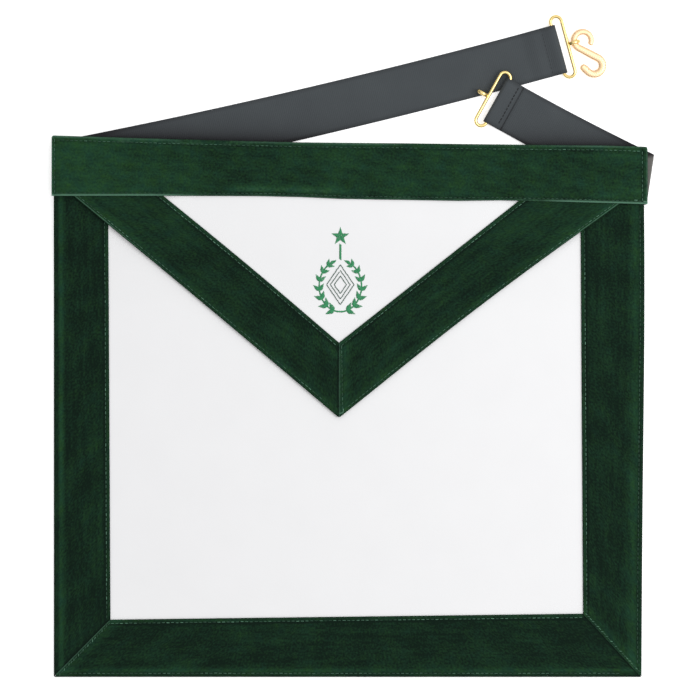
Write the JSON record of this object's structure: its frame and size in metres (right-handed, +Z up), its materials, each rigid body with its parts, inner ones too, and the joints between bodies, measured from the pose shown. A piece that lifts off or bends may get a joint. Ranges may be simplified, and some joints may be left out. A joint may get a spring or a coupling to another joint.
{
  "type": "masonic apron",
  "caption": "White leather lodge apron with dark green velvet borders, a triangular flap, and two webbing belts with gold wire links and a serpent clasp.",
  "frame": {"origin": "middle of the overall box, on the surface that the apron lies on", "axes": "+Z up from the surface to the viewer, +Y from the apron's lower edge to its waistband and belts, +X to the right as seen from above"},
  "size_m": [0.4124, 0.4512, 0.0106],
  "materials": {
    "white_leather": "smooth white leather with a soft sheen",
    "green_velvet": "dark bottle green velvet, paler along its folds",
    "grey_webbing": "charcoal ribbed webbing",
    "gold_wire": "polished gold plating",
    "cast_gold": "soft gold plating over cast scales"
  },
  "bodies": {
    "apron": {"apron_panel": "white_leather", "border_left": "green_velvet", "border_right": "green_velvet", "border_bottom": "green_velvet", "flap_panel": "white_leather", "flap_border_left": "green_velvet", "flap_border_right": "green_velvet", "waistband": "green_velvet", "belt_left": "grey_webbing", "belt_right": "grey_webbing"},
    "left_link": {"hook_link": "gold_wire", "s_hook": "cast_gold"},
    "right_link": {"eye_link": "gold_wire"}
  },
  "joints": [
    {"name": "left_link_turn", "type": "hinge", "parent": "apron", "child": "left_link", "pos_m": [0.14025, 0.20404, 0.0025], "axis": [0.2634, -0.9647, 0], "range_deg": [0, 150]},
    {"name": "right_link_turn", "type": "hinge", "parent": "apron", "child": "right_link", "pos_m": [0.09883, 0.16735, 0.004], "axis": [0.4882, 0.8727, 0], "range_deg": [0, 150]}
  ]
}
